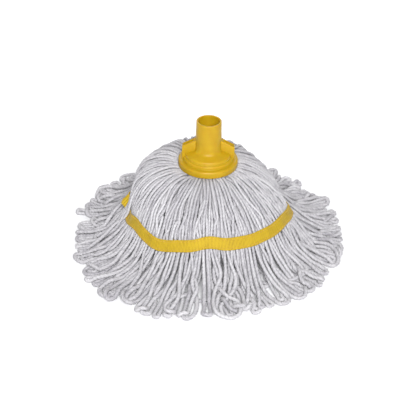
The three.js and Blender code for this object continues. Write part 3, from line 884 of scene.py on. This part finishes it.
def yarn_piece(name, centres, width, serial):
    """Twisted yarns of a width (n, m) along centres (n, m, 3) as one mesh. Midpoints are added with the
    weights (-1, 9, 9, -1) / 16. Each ring's frame is the last one's made square to the new direction.
    Point j of a ring's n lies at radius R p(j) and angle 2 pi j / n + 2 pi s / pitch, where p is the
    groove's share between the plies and 1 on them. The ends are closed by flat caps."""
    ends = [2 * centres[:, :1] - centres[:, 1:2], centres, 2 * centres[:, -1:] - centres[:, -2:-1]]
    padded = np.concatenate(ends, 1)
    middle = (9 * (padded[:, 1:-2] + padded[:, 2:-1]) - padded[:, :-3] - padded[:, 3:]) / 16
    count, steps, _ = centres.shape
    rings = 2 * steps - 1
    path = np.empty((count, rings, 3))
    path[:, 0::2] = centres
    path[:, 1::2] = middle
    radius = np.empty((count, rings))
    radius[:, 0::2] = width / 2 * SHOWN
    radius[:, 1::2] = (radius[:, 0:-2:2] + radius[:, 2::2]) / 2
    along = np.gradient(path, axis=1)
    along /= np.linalg.norm(along, axis=2, keepdims=True)
    normal = np.empty_like(path)
    last = np.broadcast_to([0.0, 0.0, 1.0], (count, 3))
    for ring in range(rings):
        last = last - (last * along[:, ring]).sum(1, keepdims=True) * along[:, ring]
        last = last / np.linalg.norm(last, axis=1, keepdims=True)
        normal[:, ring] = last
    beside = np.cross(along, normal)
    gap = np.linalg.norm(np.diff(path, axis=1), axis=2)
    s = np.concatenate([np.zeros((count, 1)), np.cumsum(gap, 1)], 1)
    start = ((serial * 97 + np.arange(count) * 31) % 360)[:, None]  # turns each yarn's twist by its own
    j = np.arange(RING_POINTS)
    own = 2 * np.pi * j / RING_POINTS
    a = own + (2 * np.pi * s / PLY_PITCH + np.radians(start))[..., None]
    ply = np.where(j % (RING_POINTS // PLIES) == 0, PLY_GROOVE, 1) * radius[..., None]
    points = path[:, :, None] + (ply * np.cos(a))[..., None] * normal[:, :, None]
    points = points + (ply * np.sin(a))[..., None] * beside[:, :, None]

    n, k, i = np.arange(count)[:, None, None], np.arange(rings - 1)[:, None], j
    first = (n * rings + k) * RING_POINTS
    quads = np.stack(
        [first + i, first + (i + 1) % RING_POINTS,
         first + RING_POINTS + (i + 1) % RING_POINTS, first + RING_POINTS + i], -1,
    ).reshape(-1, 4)
    caps = np.concatenate([
        (np.arange(count)[:, None] * rings) * RING_POINTS + j[::-1],
        (np.arange(count)[:, None] * rings + rings - 1) * RING_POINTS + j,
    ])
    made = piece(name, points, quads.tolist() + caps.tolist(), cotton)

    # The pattern's own coordinates, round the yarn and along it.
    place = np.empty((count, rings, RING_POINTS, 3))
    place[..., 0] = YARN / 2 * np.cos(own)
    place[..., 1] = YARN / 2 * np.sin(own)
    place[..., 2] = (s * FIBRE_LENGTHENED)[..., None] + PATTERN_SHIFT * (start[..., None] + serial)
    attribute = made.data.attributes.new("strand_place", "FLOAT_VECTOR", "POINT")
    attribute.data.foreach_set("vector", place.reshape(-1).astype(np.float32))

    # The bake map: each yarn's skin in rows, side by side, with a margin between them, and the caps as
    # small rings at the right edge.
    row_length = -(-(rings - 1) // UV_ROWS)
    rows = count * UV_ROWS
    k = np.broadcast_to(k, (count, rings - 1, RING_POINTS))
    i = np.broadcast_to(i, k.shape)
    row = n * UV_ROWS + k // row_length
    u = (k % row_length)[..., None] + np.array([0, 0, 1, 1])
    v = i[..., None] + np.array([0, 1, 1, 0])
    v = row[..., None] + 0.05 + 0.9 * v / RING_POINTS
    uv = np.stack([0.01 + 0.95 * u / row_length, v / rows], -1)
    spot = np.stack([0.98 + 0.008 * np.cos(own), 0.008 * np.sin(own)], -1)
    places = np.stack([0 * np.arange(2 * count), (np.arange(2 * count) + 0.5) / (2 * count)], -1)
    cap_uv = places[:, None] + spot
    layer = made.data.uv_layers.new(name="OFBake")
    layer.data.foreach_set("uv", np.concatenate([uv.reshape(-1), cap_uv.reshape(-1)]).astype(np.float32))
    return made


for serial in range(OUTER_HANKS + INNER_HANKS):
    own_loops = slice(serial * LOOPS_PER_HANK, (serial + 1) * LOOPS_PER_HANK)
    if serial < OUTER_HANKS:
        side, hank_name, number = "outer", "yarn_hank", serial + 1
    else:
        side, hank_name, number = "inner", "inner_hank", serial + 1 - OUTER_HANKS
    made = yarn_piece(f"{side}_loops_{number:02d}", loops[own_loops], width[own_loops], serial)
    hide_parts(f"{hank_name}_{number:02d}")

# --- Yarn crown -------------------------------------------------------------------------------------
# The middles of the loops, which run straight across between the flange and the clamp plate in crossed
# layers. The yarns part round the two arms of the plate.
crown_low, crown_high = (np.array(corner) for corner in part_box("yarn_crown"))
CROWN_CLEARANCE = 0.2 * MM
CROWN_RADIUS = crown_high[0] - CROWN_CLEARANCE
CROWN_LAYERS = 6
CROWN_TURNS = (20, 50)  # degrees: where the first layer points, and the turn from layer to layer
CROWN_ROWS = 7  # yarns on each side of the middle one
CROWN_SPACING = 4.1 * MM
CROWN_STEPS = 22
ARM_PLACE = 21.4 * MM
ARM_ROOM = 6.5 * MM
ARM_PUSH = 0.7

layer_gap = (crown_high[2] - crown_low[2] - YARN) / (CROWN_LAYERS - 1)
rows = np.arange(-CROWN_ROWS, CROWN_ROWS + 1) * CROWN_SPACING
layer_index = np.repeat(np.arange(CROWN_LAYERS), len(rows))
row = np.tile(rows, CROWN_LAYERS)
half_chord = np.sqrt(CROWN_RADIUS**2 - row**2)
chord = half_chord[:, None] * np.linspace(-1, 1, CROWN_STEPS)
across = np.broadcast_to(row[:, None], chord.shape)
direction = np.radians(CROWN_TURNS[0] + CROWN_TURNS[1] * layer_index)[:, None]
x = chord * np.cos(direction) - across * np.sin(direction)
y = chord * np.sin(direction) + across * np.cos(direction)
for side in (1, -1):
    far = np.hypot(x - side * ARM_PLACE, y)
    push = np.maximum(ARM_ROOM - far, 0) / np.maximum(far, 0.1 * MM) * ARM_PUSH
    x, y = x + (x - side * ARM_PLACE) * push, y + y * push
inside = np.minimum(CROWN_RADIUS / np.hypot(x, y), 1)
height = crown_low[2] + YARN / 2 + layer_gap * layer_index
crown_points = np.stack([x * inside, y * inside, np.broadcast_to(height[:, None], x.shape)], -1)
crown = yarn_piece(
    "crossing_yarn", crown_points, np.full(x.shape, YARN / SHOWN), OUTER_HANKS + INNER_HANKS
)
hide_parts("yarn_crown")

# --- Tape -------------------------------------------------------------------------------------------
# A woven polyester tape is sewn round the outside of the yarn, and a second one inside it, so that the
# loops fan out evenly. The weave shows as fine crosswise ribs, and the edges waver a little.
TAPE_WIDTH = 14.5 * MM
TAPE_THICKNESS = 0.8 * MM
TAPE_CLEARANCE = 0.2 * MM
TAPE_FACE = TAPE_CLEARANCE + TAPE_THICKNESS
TAPE_EDGE = 0.6 * MM  # width of the thinned selvedge
EDGE_THINNING = 0.75
TAPE_RADIUS = 98 * MM  # about where it lies, for the weave's length
TAPE_ROUND = 720
TAPE_ACROSS = 13
BAKE_BANDS = 6  # the bake map takes the tape in this many lengths
SLOPE_STEP = 0.5 * MM
TUCK_SIDE = np.radians(187)  # a pleat stands out of the tape on the left
TUCK_SPREAD = np.radians(3.4)
TUCK_OUT = 7 * MM
TUCK_DOWN = 9 * MM
STITCH_INSET = 2.2 * MM
STITCH_DIP = (0.25, 0.8 * MM)  # depth in mm and half width of the dip along a row of stitches
STITCHES = 150

# Waves in the tape, as (height in mm, waves round the mop, phase): across its face, and along its edges.
FACE_WAVES = ((0.35, 11, 1), (0.25, 26, 2), (0.12, 165, 0))
EDGE_WAVES = ((0.35, 7, 0.5), (0.25, 17, 0))

tape_turn = np.linspace(0, 2 * np.pi, TAPE_ROUND, endpoint=False)
tape_reach = np.interp(tape_turn, REACH_TURNS, REACHES_ROUND)
tape_fall = outer_fall(tape_turn, tape_reach)


def over_yarn(turn, aside, out):
    """Points on the tape at each turn: aside is the distance from its middle line down the yarn, and
    out the height over the yarn's surface."""
    lines, distance, tape = (
        np.stack([np.interp(turn, tape_turn, column, period=2 * np.pi) for column in
                  part.reshape(TAPE_ROUND, -1).T], -1).reshape(len(turn), *part.shape[1:])
        for part in tape_fall
    )
    s = tape[:, None] + aside
    radius, height = at_distance(lines, distance, s)
    ahead_r, ahead_z = at_distance(lines, distance, s + SLOPE_STEP)
    slope = np.stack([ahead_r - radius, ahead_z - height])
    slope = slope / np.linalg.norm(slope, axis=0)
    radius, height = radius - slope[1] * out, height + slope[0] * out
    return np.stack([radius * np.cos(turn)[:, None], radius * np.sin(turn)[:, None], height], -1)


def tape_waves(turn, waves):
    """The sum of height * sin(count * turn + phase) over the waves, in mm."""
    return sum(height * np.sin(count * turn + phase) for height, count, phase in waves)[:, None]


def tape_relief(turn, aside):
    """Height of the tape's face: low waves along it, the last a slight ripple over the yarns, less
    depth * exp(-(distance from the nearer row of stitches / half width)^2)."""
    row = np.abs(np.abs(aside) - (TAPE_WIDTH / 2 - STITCH_INSET))
    depth, half_width = STITCH_DIP
    return (tape_waves(turn, FACE_WAVES) - depth * np.exp(-((row / half_width) ** 2))) * MM


def edge_waver(turn):
    """How far the tape wanders down the yarn from its middle line."""
    return tape_waves(turn, EDGE_WAVES) * MM


def tuck(turn):
    """The outer tape's pleat on the left, as a share of its full size: exp(-(angle / spread)^2)."""
    return np.exp(-((turned_gap(turn, TUCK_SIDE) / TUCK_SPREAD) ** 2))[:, None]


# Woven polyester: matt and a little fuzzy, with painted shade between its ribs, and mottled where it has
# rubbed.
TAPE_YELLOW = "#b89b1a"
# The darkest tape colour: rubbed wear, and painted shade in the dips between the ribs.
TAPE_WEAR_AND_PAINTED_SHADE = "#83680c"
RIB = 1.6 * MM  # real ribs are about 0.5 mm apart, drawn coarser so that they show
WAVES_PER_UNIT = 3.18  # how many waves a wave texture has in one unit at a scale of 1
FUZZ = 0.9 * MM  # tufts of fibre, coarser than real ones
FUZZ_SHARE = 0.5
RUBBED = 9 * MM
RUBBED_SHARE = 0.5
RIB_DEPTH = 0.25 * MM

woven_tape, tree, shader = new_material("woven_polyester_tape")
weave_place = node(tree, "UVMap", {"uv_map": "weave"}).outputs["UV"]
ribs = node(tree, "TexWave", {"bands_direction": "X"}, Vector=weave_place,
            Scale=1 / (RIB * WAVES_PER_UNIT), Distortion=1.2, Detail=2.0, Detail_Scale=3.0)
fuzz = node(tree, "TexNoise", Vector=weave_place, Scale=1 / FUZZ, Detail=3.0, Roughness=0.7)
rubbed = node(tree, "TexNoise", Vector=weave_place, Scale=1 / RUBBED, Detail=2.0, Roughness=0.5)
weave = node(tree, "Mix", {"data_type": "FLOAT"}, Factor=FUZZ_SHARE, in_2=ribs.outputs["Fac"],
             in_3=fuzz.outputs["Fac"]).outputs[0]
# The rubbed mottling plus the rib relief picks the colour, so the dips between the ribs are darker:
# painted shade.
wear_and_painted_rib_shade = node(tree, "Math", {"operation": "MULTIPLY_ADD"}, in_0=rubbed.outputs["Fac"], in_1=RUBBED_SHARE,
              in_2=weave)
colour = node(tree, "ValToRGB", {"stops": ((0.4, TAPE_WEAR_AND_PAINTED_SHADE), (0.9, TAPE_YELLOW))},
              Fac=wear_and_painted_rib_shade.outputs["Value"])
bump = node(tree, "Bump", Height=weave, Strength=0.5, Distance=RIB_DEPTH)
connect(
    tree, shader, Base_Color=colour.outputs["Color"], Normal=bump.outputs["Normal"], Roughness=0.72,
    Specular_IOR_Level=0.3, Sheen_Weight=0.15, Sheen_Roughness=0.4,
)


def tape_piece(name, node_name, sides, tucked):
    """A closed band: the section goes down its inner face and up its outer face, at the two heights
    over the yarn in sides, and its edges are thinned to a quarter. A tuck of tucked times its full size
    is added. Deep under the yarn's surface the lines across the band fan out, so there the width is
    measured and put right."""
    aside = np.linspace(-TAPE_WIDTH / 2, TAPE_WIDTH / 2, TAPE_ACROSS)
    thin = 1 - EDGE_THINNING * smoothstep(np.abs(aside), TAPE_WIDTH / 2 - TAPE_EDGE, TAPE_WIDTH / 2)
    middle = (sides[0] + sides[1]) / 2
    relief = tape_relief(tape_turn, aside) + tucked * TUCK_OUT * tuck(tape_turn)
    waver = edge_waver(tape_turn) + tucked * TUCK_DOWN * tuck(tape_turn)
    down = aside + waver
    if middle < 0:
        across = over_yarn(tape_turn, down, np.full_like(down, middle))
        wide = np.linalg.norm(np.diff(across, axis=1), axis=2).sum(1, keepdims=True)
        down = aside * TAPE_WIDTH / wide + waver
    faces = [over_yarn(tape_turn, down, middle + (side - middle) * thin + relief) for side in sides]
    section = np.concatenate([faces[0], faces[1][:, ::-1]], 1)
    count = 2 * TAPE_ACROSS
    quads = grid_faces(TAPE_ROUND, count, wrap_rows=True, wrap_columns=True)
    made = piece(name, section, quads, woven_tape)
    i = np.arange(TAPE_ROUND)[:, None, None] + np.array([0, 1, 1, 0])
    j = np.arange(count)[None, :, None] + np.array([0, 0, 1, 1])
    length = 2 * np.pi * TAPE_RADIUS
    weave = np.stack(np.broadcast_arrays(i / TAPE_ROUND * length, j / TAPE_ACROSS * TAPE_WIDTH), -1)
    band = np.minimum(i[..., :1] * BAKE_BANDS // TAPE_ROUND, BAKE_BANDS - 1)
    u = 0.01 + 0.97 * (i * BAKE_BANDS / TAPE_ROUND - band)
    v = (band + 0.04 + 0.9 * j / count) / BAKE_BANDS
    bake = np.stack(np.broadcast_arrays(u, v), -1)
    for layer_name, values in (("weave", weave), ("OFBake", bake)):
        layer = made.data.uv_layers.new(name=layer_name)
        layer.data.foreach_set("uv", values.reshape(-1).astype(np.float32))
    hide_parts(node_name)


under_yarn = (-OUTER_DEPTH[1] - TAPE_FACE, -OUTER_DEPTH[1] - TAPE_CLEARANCE)
tape_piece("woven_tape_outer", "tape_outer", (TAPE_CLEARANCE, TAPE_FACE), 1)
tape_piece("woven_tape_inner", "tape_inner", under_yarn, 0)

# --- Stitches ---------------------------------------------------------------------------------------
# Two rows of polyester lockstitch hold the tapes together through the yarn. Each stitch lies on the
# outer tape and dives through it at both ends.
THREAD = 0.7 * MM
STITCH_SHARE = 0.76  # of the distance from stitch to stitch
STITCH_RISE = (0.55, 2.2)  # in threads: how high its middle lies, and 4 times how far its ends go down
STITCH_RINGS = 5
STITCH_SIDES = 6

# Spun polyester, twisted tight: smoother than the tape, with a slight sheen and a faint change of tone.
THREAD_GOLD = "#c8a028"
THREAD_DEEP = "#a87a10"
THREAD_TONE = 2.5 * MM
sewing_thread, tree, shader = new_material("polyester_sewing_thread")
place = node(tree, "TexCoord").outputs["Object"]
tone = node(tree, "TexNoise", Vector=place, Scale=1 / THREAD_TONE, Detail=2.0, Roughness=0.6)
colour = node(tree, "ValToRGB", {"stops": ((0.3, THREAD_DEEP), (0.7, THREAD_GOLD))},
              Fac=tone.outputs["Fac"])
connect(tree, shader, Base_Color=colour.outputs["Color"], Roughness=0.5, Sheen_Weight=0.2)

for name, node_name, aside in (
    ("stitches_upper", "stitch_row_upper", -TAPE_WIDTH / 2 + STITCH_INSET),
    ("stitches_lower", "stitch_row_lower", TAPE_WIDTH / 2 - STITCH_INSET),
):
    share = np.linspace(-0.5, 0.5, STITCH_RINGS)
    turn = (np.arange(STITCHES)[:, None] + 0.5 + share * STITCH_SHARE) * 2 * np.pi / STITCHES
    turn = turn.reshape(-1)
    place = np.full((len(turn), 1), aside)
    dive = np.tile(THREAD * (STITCH_RISE[0] - STITCH_RISE[1] * share**2), STITCHES)[:, None]
    down = place + edge_waver(turn) + TUCK_DOWN * tuck(turn)
    over_tape = TAPE_FACE + tape_relief(turn, place) + TUCK_OUT * tuck(turn) + dive
    centres = over_yarn(turn, down, over_tape)
    outward = over_yarn(turn, down, over_tape + MM) - centres
    outward = outward[:, 0] / np.linalg.norm(outward[:, 0], axis=1, keepdims=True)
    centres = centres[:, 0].reshape(STITCHES, STITCH_RINGS, 3)
    outward = outward.reshape(STITCHES, STITCH_RINGS, 3)
    along = np.gradient(centres, axis=1)
    along /= np.linalg.norm(along, axis=2, keepdims=True)
    beside = np.cross(along, outward)
    a = 2 * np.pi * np.arange(STITCH_SIDES) / STITCH_SIDES
    wide = THREAD / 2 * (1 - 0.5 * (2 * np.abs(share)) ** 3)[None, :, None, None]
    ring = np.cos(a)[:, None] * outward[:, :, None] + np.sin(a)[:, None] * beside[:, :, None]
    points = centres[:, :, None] + wide * ring
    each = STITCH_RINGS * STITCH_SIDES
    faces = []
    for stitch in range(STITCHES):
        faces += grid_faces(STITCH_RINGS, STITCH_SIDES, wrap_columns=True, first=stitch * each)
        faces.append([stitch * each + side for side in range(STITCH_SIDES)][::-1])
        faces.append([(stitch + 1) * each - STITCH_SIDES + side for side in range(STITCH_SIDES)])
    made = piece(name, points, faces, sewing_thread)
    tidy_mesh(made)
    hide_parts(node_name)
